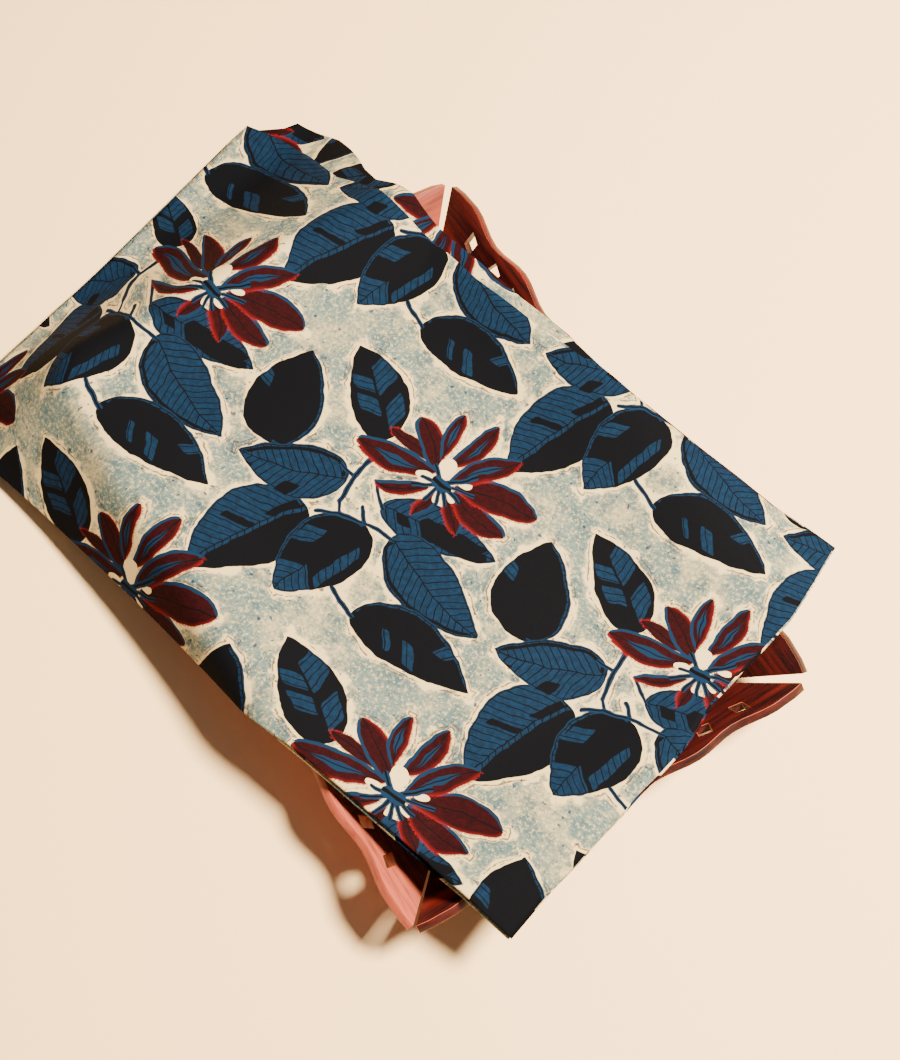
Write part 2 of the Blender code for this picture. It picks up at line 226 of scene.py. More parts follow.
def fall(pastRim, angle, height):
    # Level run and drop of cloth that bends over the rim, slopes, and flattens on the floor
    rimBend, floorBend = clothSettings["rimBend"], clothSettings["floorBend"]
    firstArc = rimBend * angle
    if pastRim < firstArc:
        turn = pastRim / rimBend
        return rimBend * math.sin(turn), rimBend * (1.0 - math.cos(turn))
    run = rimBend * math.sin(angle)
    drop = rimBend * (1.0 - math.cos(angle))
    straight = (height - drop - floorBend * (1.0 - math.cos(angle))) / math.sin(angle)
    leftOver = pastRim - firstArc
    if leftOver < straight:
        return run + leftOver * math.cos(angle), drop + leftOver * math.sin(angle)
    run += straight * math.cos(angle)
    drop += straight * math.sin(angle)
    leftOver -= straight
    lastArc = floorBend * angle
    if leftOver < lastArc:
        turn = angle - leftOver / floorBend
        return (run + floorBend * (math.sin(angle) - math.sin(turn)),
                drop + floorBend * (math.cos(turn) - math.cos(angle)))
    return run + floorBend * math.sin(angle) + leftOver - lastArc, height


def slopeAngle(a, b, outA, outB):
    # Steepness of the cloth past the rim, blended around the tray's corners
    along = 0.5 + 0.5 * min(1.0, max(-1.0, a / (0.5 * traySettings["rimLength"])))
    across = 0.5 + 0.5 * min(1.0, max(-1.0, b / (0.5 * traySettings["rimWidth"])))
    end = clothSlopes["left" if outA < 0.0 else "right"]
    side = clothSlopes["front" if outB < 0.0 else "back"]
    return ((end[0] + (end[1] - end[0]) * across) * outA * outA
            + (side[0] + (side[1] - side[0]) * along) * outB * outB)


def troughDepth(s, t):
    depth = 0.0
    for along, across, turn, reach, width, deep in troughs:
        ahead = (s - along) * math.cos(turn) + (t - across) * math.sin(turn)
        aside = (t - across) * math.cos(turn) - (s - along) * math.sin(turn)
        depth += deep * math.exp(-(ahead / reach) ** 2 - (aside / width) ** 2)
    return depth


def lowestLayer(s, t):
    # Middle of the lowest layer, at s along and t across the folded cloth laid flat
    c = clothSettings
    turn = traySettings["turn"]
    level = traySettings["rimHeight"] + c["rimClearance"] + 0.5 * c["solidSheet"]
    flatX, flatY = s + c["fromTray"][0], t + c["fromTray"][1]
    a = flatX * math.cos(turn) + flatY * math.sin(turn)
    b = -flatX * math.sin(turn) + flatY * math.cos(turn)
    sideA = abs(a) - (0.5 * traySettings["rimLength"] - c["cornerRound"])
    sideB = abs(b) - (0.5 * traySettings["rimWidth"] - c["cornerRound"])
    outside = math.hypot(max(sideA, 0.0), max(sideB, 0.0))
    pastRim = outside + min(max(sideA, sideB), 0.0) - c["cornerRound"]
    if pastRim <= 0.0:
        inside = smooth(-pastRim / c["sagReach"])
        trough = troughDepth(s, t) * smooth(-pastRim / c["edgeBlend"])
        return Vector((flatX, flatY, level - c["sag"] * inside - trough))
    if sideA > 0.0 and sideB > 0.0:
        outA, outB = sideA / outside, sideB / outside
    elif sideA > sideB:
        outA, outB = 1.0, 0.0
    else:
        outA, outB = 0.0, 1.0
    outA, outB = math.copysign(outA, a), math.copysign(outB, b)
    height = level - 0.5 * c["solidSheet"] - c["floorClearance"]
    run, drop = fall(pastRim, slopeAngle(a, b, outA, outB), height)
    a -= outA * (pastRim - run)
    b -= outB * (pastRim - run)
    hanging = smooth(pastRim / c["edgeBlend"]) * smooth((height - drop) / c["edgeBlend"])
    return Vector((a * math.cos(turn) - b * math.sin(turn), a * math.sin(turn) + b * math.cos(turn),
                   level - drop - troughDepth(s, t) * hanging))


def layerPoint(s, t, height):
    # Place on a layer that lies this far above the lowest one, square to it
    step = 0.001
    along = lowestLayer(s + step, t) - lowestLayer(s - step, t)
    across = lowestLayer(s, t + step) - lowestLayer(s, t - step)
    return lowestLayer(s, t) + along.cross(across).normalized() * height


def sectionAt(s):
    # Back and forth through the layers at one place along the cloth: layer, across, height
    c = clothSettings
    pitch, top = c["layerPitch"], c["topLayer"]
    edge, under = readRow(backEdges, s, 1), readRow(backEdges, s, 2)
    ends = [(c["frontEdge"] - c["lowerFoldProud"], under - c["freeEdgeShort"]),
            (c["frontEdge"] - c["lowerFoldProud"], under),
            (c["frontEdge"], under),
            (c["frontEdge"], edge)]
    path = []
    for layer in range(top + 1):
        rows = c["topRows"] if layer == top else c["hiddenRows"]
        front, back = ends[layer]
        if layer > 0:
            bendOfFront = layer % 2 == 1
            radius = 0.5 * pitch
            for step in range(1, c["foldSteps"]):
                turn = -0.5 * math.pi + math.pi * step / c["foldSteps"]
                inward = radius * (1.0 - math.cos(turn))
                across = front + inward if bendOfFront else back - inward
                side = layer - 1 if step <= c["foldSteps"] // 2 else layer
                path.append((side, across, (layer - 0.5) * pitch + radius * math.sin(turn)))
        inset = 0.5 * pitch
        low = front + inset
        high = back - (inset if 0 < layer < top else 0.0)
        run = [low + (high - low) * number / rows for number in range(rows + 1)]
        if layer % 2 == 0:
            run.reverse()
        path += [(layer, across, layer * pitch) for across in run]
    return path


def leftEndOf(t, layer):
    c = clothSettings
    if layer == c["topLayer"]:
        return c["leftEnd"]
    cut = c["underCornerCut"] * smooth((t - c["underCornerFrom"]) / c["underCornerReach"])
    return c["leftEnd"] - c["underLayerProud"] + cut


# How the print was pulled out of square, and how far it moves where the cloth falls at the left end
pullSettings = {
    "skew": 0.0197,
    "twist": -0.301,
    "bow": 0.16,
    "fan": 0.5,
    "reach": 0.160,
    "endFrom": 0.205,
    "endReach": 0.080,
    "endTurn": 0.045,
    "endBack": 0.035,
    "endFront": 0.013,
    "endDown": 0.021,
    "downUpTo": 0.055,
    "downFade": 0.060,
}


def pulled(along, across):
    # Place on the cloth before it was pulled a little out of square, most of all at its left end
    p = pullSettings
    flowerRow = printSettings["flowerPlace"][1]
    near = max(across, -p["reach"])
    rise = along * (p["skew"] + p["twist"] * near) + p["bow"] * along * along
    fallen = smooth((-p["endFrom"] - along) / p["endReach"])
    backPart = smooth((near + p["endTurn"]) / (p["endTurn"] + flowerRow))
    frontPart = 1.0 - smooth((near - p["downUpTo"]) / p["downFade"])
    along *= 1.0 - p["fan"] * (flowerRow - near)
    along += fallen * (p["endBack"] * backPart - p["endFront"] * (1.0 - backPart))
    return along, across - rise - fallen * p["endDown"] * frontPart


def makeCloth():
    # One length of silk as a grid: its columns go along the folds, its rows through the section
    columns = clothSettings["columns"]
    points, flatPlaces = [], []
    for column in range(columns + 1):
        share = column / columns
        section = sectionAt(clothSettings["leftEnd"] + share * clothSettings["length"])
        rows = len(section)
        flat = [0.0] * rows
        for number in range(rows - 2, -1, -1):
            (_, across, height), (_, nextAcross, nextHeight) = section[number], section[number + 1]
            flat[number] = flat[number + 1] - math.hypot(nextAcross - across, nextHeight - height)
        for number, (layer, across, height) in enumerate(section):
            start = leftEndOf(across, layer)
            finish = readRow(rightEnds, across, 1) + layerEndStep[layer]
            along = start + (finish - start) * share
            points.append(layerPoint(along, across, height))
            flatAcross = flat[number] + section[-1][1]
            flatPlaces.append(pulled(along, flatAcross))
    faces = []
    for column in range(columns):
        for row in range(rows - 1):
            corner = column * rows + row
            faces.append((corner, corner + rows, corner + rows + 1, corner + 1))
    mesh = bpy.data.meshes.new("foldedSilk")
    mesh.from_pydata(points, [], faces)
    flatMap = mesh.uv_layers.new(name="clothFlat")
    for loop in mesh.loops:
        flatMap.data[loop.index].uv = flatPlaces[loop.vertex_index]
    mesh.shade_smooth()
    cloth = bpy.data.objects.new("folded_silk", mesh)
    bpy.context.scene.collection.objects.link(cloth)
    sheet = cloth.modifiers.new("sheet", "SOLIDIFY")
    sheet.thickness = clothSettings["sheet"]
    sheet.offset = 0.0
    return cloth


# Print: repeat of the blocks, how unevenly they were cut and pressed, and the inks. Each noise is
# the size of its lumps, then its detail and roughness
printSettings = {
    "repeatAlong": 0.1844,
    "repeatAcross": 0.1621,
    "rowShift": 0.0920,
    "flowerPlace": (-0.0148, 0.0308),
    "uneven": 0.0044,
    "unevenNoise": (0.013, 2.0, 0.45),
    "grainNoise": (0.0035, 3.0, 0.7),
    "spotNoise": (0.0010, 2.0, 0.7),
    "softEdge": 0.0002,
    "strokeBlack": 0.16,
    "dropPowers": (0.6, 0.4),
    "cream": tone(204, 182, 132),
    "groundLight": tone(146, 140, 112),
    "ground": tone(94, 109, 104),
    "groundDeep": tone(54, 80, 88),
    "blue": tone(15, 36, 59),
    "blueDeep": tone(11, 27, 44),
    "black": tone(9, 9, 11),
    "red": tone(43, 9, 12),
    "redDeep": tone(25, 7, 9),
    "redBright": tone(104, 16, 18),
    "brown": tone(62, 34, 28),
}

millimetre = 0.001

# Leaves, from the flower's middle: middle along and across, turn of the tip, length, width (mm and
# degrees), bend, black or blue (1 or 0), side of the rim band, and whether that band is black
leaves = {
    "under flower": (19, -25, 12, 72, 28, 0.03, 0, 0, 0),
    "broad blue": (37, -51, -14, 76, 37, -0.05, 0, -1, 1),
    "pair, far": (-59, -95, -106, 74, 49, -0.05, 0, -1, 0),
    "pair, near": (-21, -79, -101, 64, 43, -0.04, 1, -1, 0),
    "long black": (51, -90, 2, 77, 34, 0.06, 1, 1, 0),
    "round black": (-102, -16, 112, 64, 45, 0.03, 1, -1, 0),
    "small blue": (-71, -45, 206, 64, 34, 0.06, 0, -1, 1),
    "banded": (-69, 18, 148, 64, 34, -0.03, 1, 0, 0),
}

# Patches of the other ink in a leaf: side of its midrib, where the patch starts and ends along the
# midrib from the leaf's middle, and how far from the midrib it starts and ends (mm)
patches = (
    ("under flower", -1, -28, -20, 0, 6), ("under flower", -1, -13, 30, 0, 9),
    ("under flower", 1, -13, 27, 0, 4),
    ("pair, far", 1, -40, 31, 2.5, 30), ("pair, far", -1, -40, -18, 0, 5), ("pair, far", -1, -8, -3, 0, 15),
    ("pair, near", 1, -27, 4, 9, 15), ("pair, near", 1, 7, 34, 0, 24), ("pair, near", -1, 9, 34, 0, 24),
    ("pair, near", -1, -20, -8, 8, 18),
    ("long black", -1, -21, -17, 1, 12), ("long black", -1, -9, -1, 1, 13), ("long black", 1, 7, 15, 3, 12),
    ("round black", 1, -8, 2, 12, 20),
    ("small blue", 1, 17, 25, 5, 13), ("small blue", 1, -13, -4, 8, 18),
    ("banded", -1, -4, 16, 0, 13), ("banded", 1, -2, 8, 1, 12), ("banded", 1, -17, -6, 1, 12),
    ("banded", -1, -28, -13, 2, 13),
)

# Petals, from the flower's middle: foot and tip along and across, width (mm), bend, side of the
# blue edge (the bright one is opposite), share of blue streak
petals = (
    (-4, -6, -29, -23.5, 7.5, 0.08, -1, 0.0),
    (2, -6, -0.5, -25, 7.5, 0.0, 1, 0.0),
    (5, -3, 26, -19, 10, 0.04, 1, 0.0),
    (8, 0, 48, -3, 15, -0.06, 1, 0.0),
    (7, 3, 56, 19, 19, 0.06, 1, 0.0),
    (-14, 8, -45, 8, 8, 0.0, 0, 0.0),
    (-52, -13, -14, -1, 9, -0.05, 0, 0.0),
    (-7, 4, -55, -9, 16, 0.06, -1, 0.30),
    (-6, 5, -38, 25, 14.5, -0.05, 1, 0.0),
    (-10, 13, -19, 43, 9.5, 0.04, 1, 0.34),
    (-3, 12, 2, 50, 12, -0.05, 1, 0.22),
    (3, 4, 27, 40, 14, 0.04, 1, 0.26),
)

# Bare cream drops among the foot ends of the petals: middle, turn, length and width
drops = (
    (-4, 9, 100, 15, 10),
    (-11, -1.5, 200, 10, 5),
    (11, 8.5, 30, 8, 4),
    (8.5, -3.5, -20, 9, 3.6),
    (2.5, -8.5, -75, 7, 3.6),
)

# Arms of the flower's middle: turn, where it starts and ends, and thickness
arms = (
    (144, 1, 13, 3.2), (196, 2, 12, 2.4), (52, 1, 20, 3.4), (18, 3, 20, 2.6), (-12, 2, 14, 3.0),
    (-42, 2, 13, 2.6), (-66, 2, 13, 2.6), (-98, 2, 14, 2.6), (-138, 2, 16, 3.0), (0, -3.4, 3.4, 6.8),
)

# Stems: from and to, along and across from the flower (mm), and thickness
stems = (
    (-40.5, -13, -40.4, -28, 3.4), (-51, -28, -40.4, -28, 2.6), (-40.4, -28, -36, -45, 3.2),
    (-36, -45, -31, -51, 2.2), (-42, -58, -31, -51, 2.8), (-31, -51, -17, -46.6, 3.0),
    (-24, -40, -17, -46.6, 2.8), (-17, -46.6, 1.7, -43.6, 2.6), (-5, -88, 14, -94, 2.8),
    (-29, -23, -15, -33, 2.4), (-54, -10, -40.5, -14, 2.6),
)


def buildRepeatGroup():
    # Place on the cloth, taken back to the one repeat of the blocks around a motif's middle
    p = printSettings
    tree, takes, gives = newGroup("blockRepeat", (("Place", "Vector"), ("Middle", "Vector")),
                                  (("Local", "Vector"),))
    fromMiddle = moveVector(tree, "SUBTRACT", takes["Place"], takes["Middle"])
    split = tree.nodes.new("ShaderNodeSeparateXYZ")
    join(tree, fromMiddle, split.inputs[0])
    row = calc(tree, "ROUND", calc(tree, "DIVIDE", split.outputs[1], p["repeatAcross"]))
    across = calc(tree, "MULTIPLY_ADD", row, -p["repeatAcross"], split.outputs[1])
    shifted = calc(tree, "MULTIPLY_ADD", row, -p["rowShift"], split.outputs[0])
    block = calc(tree, "ROUND", calc(tree, "DIVIDE", shifted, p["repeatAlong"]))
    along = calc(tree, "MULTIPLY_ADD", block, -p["repeatAlong"], shifted)
    merge = tree.nodes.new("ShaderNodeCombineXYZ")
    join(tree, along, merge.inputs[0])
    join(tree, across, merge.inputs[1])
    join(tree, merge.outputs[0], gives["Local"])
    return tree


def turnBack(tree, place, angle):
    back = calc(tree, "MULTIPLY", angle, -1.0)
    node = tree.nodes.new("ShaderNodeVectorRotate")
    node.rotation_type = "Z_AXIS"
    join(tree, place, node.inputs["Vector"])
    join(tree, back, node.inputs["Angle"])
    split = tree.nodes.new("ShaderNodeSeparateXYZ")
    join(tree, node.outputs[0], split.inputs[0])
    return split.outputs[0], split.outputs[1]


def leafShape(tree, x, y, length, width, bend, footPower, tipPower):
    # Distance outside a curved leaf, its share along, and the distance from its midrib
    share = calc(tree, "MULTIPLY_ADD", calc(tree, "DIVIDE", 1.0, length), x, 0.5)
    share = calc(tree, "MINIMUM", calc(tree, "MAXIMUM", share, 0.0), 1.0)
    rest = calc(tree, "SUBTRACT", 1.0, share)
    widest = footPower / (footPower + tipPower)
    fullest = widest ** footPower * (1.0 - widest) ** tipPower
    wide = calc(tree, "MULTIPLY", calc(tree, "POWER", share, footPower), calc(tree, "POWER", rest, tipPower))
    half = calc(tree, "MULTIPLY", wide, calc(tree, "MULTIPLY", width, 0.5 / fullest))
    arch = calc(tree, "MULTIPLY", calc(tree, "MULTIPLY", share, rest), 4.0)
    lean = calc(tree, "MULTIPLY", calc(tree, "MULTIPLY", arch, bend), length)
    fromRib = calc(tree, "SUBTRACT", y, lean)
    beside = calc(tree, "SUBTRACT", calc(tree, "ABSOLUTE", fromRib), half)
    beyond = calc(tree, "MULTIPLY_ADD", length, -0.5, calc(tree, "ABSOLUTE", x))
    return calc(tree, "MAXIMUM", beside, beyond), share, fromRib


def sharp(tree, distance):
    # 1 inside a shape and 0 outside, with a printed edge
    edge = printSettings["softEdge"]
    return ramp(tree, distance, -edge, edge, 1.0, 0.0)


# Leaf blocks: fullness at foot and tip, then rim band, outline and veins, measured in from the edge
leafSettings = {
    "footPower": 0.54,
    "tipPower": 0.86,
    "patchRound": 0.0022,
    "rimFromRib": 0.0012,
    "blueBand": (0.0022, 0.0026),
    "blackBand": 0.0030,
    "blackBandHalf": 0.0010,
    "outline": 0.0011,
    "outlineHalf": (0.00016, 0.00036),
    "veinGap": 0.0024,
    "veinLean": 0.7,
    "veinStart": 0.5,
    "veinHalf": (0.00022, 0.00046),
    "veinInset": 0.0014,
    "blackDepth": 0.97,
    "grainRange": (0.3, 0.7),
}


def buildLeafPlaceGroup(repeatGroup):
    look = leafSettings
    tree, takes, gives = newGroup(
        "leafPlace",
        (("Place", "Vector"), ("Middle", "Vector"), ("Turn", "Float"), ("Length", "Float"),
         ("Width", "Float"), ("Bend", "Float")),
        (("Slant", "Float"), ("Rib", "Float"), ("Outside", "Float")))
    local = useGroup(tree, repeatGroup, Place=takes["Place"], Middle=takes["Middle"])["Local"]
    x, y = turnBack(tree, local, takes["Turn"])
    outside, _, fromRib = leafShape(tree, x, y, takes["Length"], takes["Width"], takes["Bend"],
                                    look["footPower"], look["tipPower"])
    slant = calc(tree, "MULTIPLY_ADD", calc(tree, "ABSOLUTE", fromRib), -look["veinLean"], x)
    join(tree, slant, gives["Slant"])
    join(tree, fromRib, gives["Rib"])
    join(tree, outside, gives["Outside"])
    return tree


def buildPatchGroup():
    tree, takes, gives = newGroup(
        "leafPatch",
        (("Dark", "Float"), ("Slant", "Float"), ("Rib", "Float"), ("Side", "Float"), ("From", "Float"),
         ("To", "Float"), ("Near", "Float"), ("Far", "Float")), (("Dark", "Float"),))
    aside = calc(tree, "MULTIPLY", takes["Rib"], takes["Side"])
    ends = calc(tree, "MAXIMUM", calc(tree, "SUBTRACT", takes["From"], takes["Slant"]),
                calc(tree, "SUBTRACT", takes["Slant"], takes["To"]))
    sides = calc(tree, "MAXIMUM", calc(tree, "SUBTRACT", takes["Near"], aside),
                 calc(tree, "SUBTRACT", aside, takes["Far"]))
    change = sharp(tree, calc(tree, "SMOOTH_MAX", ends, sides, leafSettings["patchRound"]))
    join(tree, calc(tree, "ABSOLUTE", calc(tree, "SUBTRACT", takes["Dark"], change)), gives["Dark"])
    return tree


def buildLeafInkGroup():
    p, look = printSettings, leafSettings
    tree, takes, gives = newGroup(
        "leafInk",
        (("Paint", "Color"), ("Gap", "Float"), ("Cover", "Float"), ("Dark", "Float"), ("Slant", "Float"),
         ("Rib", "Float"), ("Outside", "Float"), ("Grain", "Float"), ("Rim Side", "Float"),
         ("Rim Black", "Float")),
        (("Paint", "Color"), ("Gap", "Float"), ("Cover", "Float")))
    ink = sharp(tree, takes["Outside"])
    inside = calc(tree, "MULTIPLY", takes["Outside"], -1.0)
    onSide = calc(tree, "MULTIPLY", takes["Rib"], takes["Rim Side"])
    onRim = calc(tree, "GREATER_THAN", onSide, look["rimFromRib"])
    bandBlue = calc(tree, "MULTIPLY", ramp(tree, inside, *look["blueBand"], 1.0, 0.0), onRim)
    dark = calc(tree, "MULTIPLY", takes["Dark"], calc(tree, "SUBTRACT", 1.0, bandBlue))
    fromBand = calc(tree, "ABSOLUTE", calc(tree, "SUBTRACT", inside, look["blackBand"]))
    bandBlack = sharp(tree, calc(tree, "SUBTRACT", fromBand, look["blackBandHalf"]))
    bandBlack = calc(tree, "MULTIPLY", bandBlack, onRim)
    dark = calc(tree, "MAXIMUM", dark, calc(tree, "MULTIPLY", bandBlack, takes["Rim Black"]))
    fromOutline = calc(tree, "ABSOLUTE", calc(tree, "SUBTRACT", inside, look["outline"]))
    line = ramp(tree, fromOutline, *look["outlineHalf"], 1.0, 0.0)
    fromVein = calc(tree, "PINGPONG", calc(tree, "ADD", takes["Slant"], look["veinStart"]), look["veinGap"])
    veins = ramp(tree, calc(tree, "MINIMUM", fromVein, calc(tree, "ABSOLUTE", takes["Rib"])),
                 *look["veinHalf"], 1.0, 0.0)
    veins = calc(tree, "MULTIPLY", veins, calc(tree, "GREATER_THAN", inside, look["veinInset"]))
    dark = calc(tree, "MAXIMUM", calc(tree, "MAXIMUM", dark, line), veins)
    blue = blendColors(tree, ramp(tree, takes["Grain"], *look["grainRange"]), p["blueDeep"], p["blue"])
    paint = blendColors(tree, calc(tree, "MULTIPLY", dark, look["blackDepth"]), blue, p["black"])
    join(tree, blendColors(tree, ink, takes["Paint"], paint), gives["Paint"])
    join(tree, calc(tree, "MINIMUM", takes["Gap"], takes["Outside"]), gives["Gap"])
    join(tree, calc(tree, "MAXIMUM", takes["Cover"], ink), gives["Cover"])
    return tree


# Petal blocks: fullness at foot and tip, bright red specks, blue band and streak, and the fine lines
petalSettings = {
    "footPower": 0.80,
    "tipPower": 0.68,
    "speckReach": 0.0060,
    "speckRange": (0.0, 0.0014, 0.9, 0.0),
    "speckPastRib": 0.0004,
    "speckEnd": (0.0014, 0.0026, 1.0, 0.0),
    "bandOut": 0.0011,
    "bandFromRib": 0.0006,
    "redInFromBand": 0.0009,
    "mottle": 0.6,
    "mottleRange": (0.42, 0.82),
    "glowRange": (-0.0024, 0.0, 0.0, 0.5),
    "streakTaper": 1.3,
    "leastStreak": 0.01,
    "ribHalf": (0.00022, 0.00048, 0.9, 0.0),
    "edgeHalf": (0.0002, 0.0004, 0.9, 0.0),
}


def buildPetalGroup():
    p, look = printSettings, petalSettings
    tree, takes, gives = newGroup(
        "blockPetal",
        (("Paint", "Color"), ("Gap", "Float"), ("Cover", "Float"), ("Local", "Vector"), ("Grain", "Float"),
         ("Spots", "Float"), ("Middle", "Vector"), ("Turn", "Float"), ("Length", "Float"),
         ("Width", "Float"), ("Bend", "Float"), ("Side", "Float"), ("Streak", "Float")),
        (("Paint", "Color"), ("Gap", "Float"), ("Cover", "Float")))
    x, y = turnBack(tree, moveVector(tree, "SUBTRACT", takes["Local"], takes["Middle"]), takes["Turn"])
    outside, share, fromRib = leafShape(tree, x, y, takes["Length"], takes["Width"], takes["Bend"],
                                        look["footPower"], look["tipPower"])
    onSide = calc(tree, "MULTIPLY", fromRib, takes["Side"])
    # Bright red that the block left beside the dark one, broken into specks
    specks = calc(tree, "MULTIPLY_ADD", calc(tree, "SUBTRACT", 0.5, takes["Spots"]), look["speckReach"],
                  outside)
    bright = calc(tree, "MULTIPLY", ramp(tree, specks, *look["speckRange"]),
                  calc(tree, "LESS_THAN", onSide, look["speckPastRib"]))
    bright = calc(tree, "MULTIPLY", bright, ramp(tree, outside, *look["speckEnd"]))
    paint = blendColors(tree, bright, takes["Paint"], p["redBright"])
    cover = calc(tree, "MAXIMUM", takes["Cover"], bright)
    # Blue band on the other side, reaching a little past the red
    band = calc(tree, "MULTIPLY", sharp(tree, calc(tree, "SUBTRACT", outside, look["bandOut"])),
                calc(tree, "GREATER_THAN", onSide, look["bandFromRib"]))
    paint = blendColors(tree, band, paint, p["blue"])
    cover = calc(tree, "MAXIMUM", cover, band)
    ink = sharp(tree, calc(tree, "MULTIPLY_ADD", band, look["redInFromBand"], outside))
    ribGap = calc(tree, "ABSOLUTE", fromRib)
    mottle = calc(tree, "MULTIPLY_ADD", takes["Spots"], look["mottle"],
                  calc(tree, "MULTIPLY", takes["Grain"], look["mottle"]))
    red = blendColors(tree, ramp(tree, mottle, *look["mottleRange"]), p["redDeep"], p["red"])
    glow = calc(tree, "MULTIPLY", ramp(tree, outside, *look["glowRange"]),
                calc(tree, "LESS_THAN", onSide, 0.0))
    red = blendColors(tree, glow, red, p["redBright"])
    streakHalf = calc(tree, "MULTIPLY", calc(tree, "MULTIPLY", takes["Width"], takes["Streak"]), 0.5)
    reach = calc(tree, "MULTIPLY", calc(tree, "ABSOLUTE", calc(tree, "SUBTRACT", share, 0.5)), 4.0)
    streakEdge = calc(tree, "MULTIPLY", streakHalf, calc(tree, "SUBTRACT", look["streakTaper"], reach))
    streak = sharp(tree, calc(tree, "SUBTRACT", ribGap, streakEdge))
    streak = calc(tree, "MULTIPLY", streak, calc(tree, "GREATER_THAN", takes["Streak"], look["leastStreak"]))
    red = blendColors(tree, streak, red, p["blue"])
    line = ramp(tree, ribGap, *look["ribHalf"])
    edgeLine = ramp(tree, calc(tree, "ABSOLUTE", outside), *look["edgeHalf"])
    line = calc(tree, "MAXIMUM", line, calc(tree, "MULTIPLY", band, edgeLine))
    red = blendColors(tree, line, red, p["black"])
    join(tree, blendColors(tree, ink, paint, red), gives["Paint"])
    join(tree, calc(tree, "MINIMUM", takes["Gap"], outside), gives["Gap"])
    join(tree, calc(tree, "MAXIMUM", cover, ink), gives["Cover"])
    return tree


def buildStrokeGroup():
    # Straight stroke with round ends, blue with a black core
    p = printSettings
    tree, takes, gives = newGroup(
        "blockStroke",
        (("Paint", "Color"), ("Gap", "Float"), ("Cover", "Float"), ("Local", "Vector"), ("Turn", "Float"),
         ("Length", "Float"), ("Thick", "Float"), ("Black", "Float")),
        (("Paint", "Color"), ("Gap", "Float"), ("Cover", "Float")))
    x, y = turnBack(tree, takes["Local"], takes["Turn"])
    beyond = calc(tree, "MAXIMUM", calc(tree, "MULTIPLY_ADD", takes["Length"], -0.5,
                                        calc(tree, "ABSOLUTE", x)), 0.0)
    away = calc(tree, "SQRT", calc(tree, "MULTIPLY_ADD", y, y, calc(tree, "MULTIPLY", beyond, beyond)))
    outside = calc(tree, "MULTIPLY_ADD", takes["Thick"], -0.5, away)
    ink = sharp(tree, outside)
    fromCore = calc(tree, "MULTIPLY_ADD", takes["Thick"], -p["strokeBlack"], calc(tree, "ABSOLUTE", y))
    core = calc(tree, "MULTIPLY", sharp(tree, fromCore), takes["Black"])
    paint = blendColors(tree, core, p["blue"], p["black"])
    join(tree, blendColors(tree, ink, takes["Paint"], paint), gives["Paint"])
    join(tree, calc(tree, "MINIMUM", takes["Gap"], outside), gives["Gap"])
    join(tree, calc(tree, "MAXIMUM", takes["Cover"], ink), gives["Cover"])
    return tree


def buildDropGroup():
    p = printSettings
    tree, takes, gives = newGroup(
        "bareDrop",
        (("Paint", "Color"), ("Cover", "Float"), ("Local", "Vector"), ("Middle", "Vector"),
         ("Turn", "Float"), ("Length", "Float"), ("Width", "Float")),
        (("Paint", "Color"), ("Cover", "Float")))
    x, y = turnBack(tree, moveVector(tree, "SUBTRACT", takes["Local"], takes["Middle"]), takes["Turn"])
    outside, _, _ = leafShape(tree, x, y, takes["Length"], takes["Width"], 0.0, *p["dropPowers"])
    bare = sharp(tree, outside)
    join(tree, blendColors(tree, bare, takes["Paint"], p["cream"]), gives["Paint"])
    join(tree, calc(tree, "MAXIMUM", takes["Cover"], bare), gives["Cover"])
    return tree


# Ground: its noises, then where each tone starts and is full, and its strength at both ends
groundSettings = {
    "cloudNoise": (0.034, 4.0, 0.6),
    "patchNoise": (0.012, 3.0, 0.6),
    "speckNoise": (0.0022, 4.0, 0.8),
    "fleckNoise": (0.0042, 1.0, 0.5),
    "green": (0.36, 0.54),
    "bluePatches": (0.46, 0.68, 0.0, 0.75),
    "creamSpecks": (0.52, 0.60, 0.0, 0.55),
    "blueSpecks": (0.36, 0.46, 0.75, 0.0),
    "marginWander": 0.022,
    "marginGrit": 0.010,
    "margin": (0.0018, 0.0042, 0.9, 0.0),
    "lineWander": 0.006,
    "lineGap": 0.0011,
    "lineHalf": (0.0003, 0.00065, 1.0, 0.0),
    "linesFrom": (0.0010, 0.0014),
    "linesTo": (0.0034, 0.0044, 1.0, 0.0),
    "lineBreaks": (0.36, 0.50),
    "lineAreas": (0.46, 0.52),
    "lineStrength": 0.8,
    "flecks": (0.70, 0.72),
    "fleckStrength": 0.8,
}


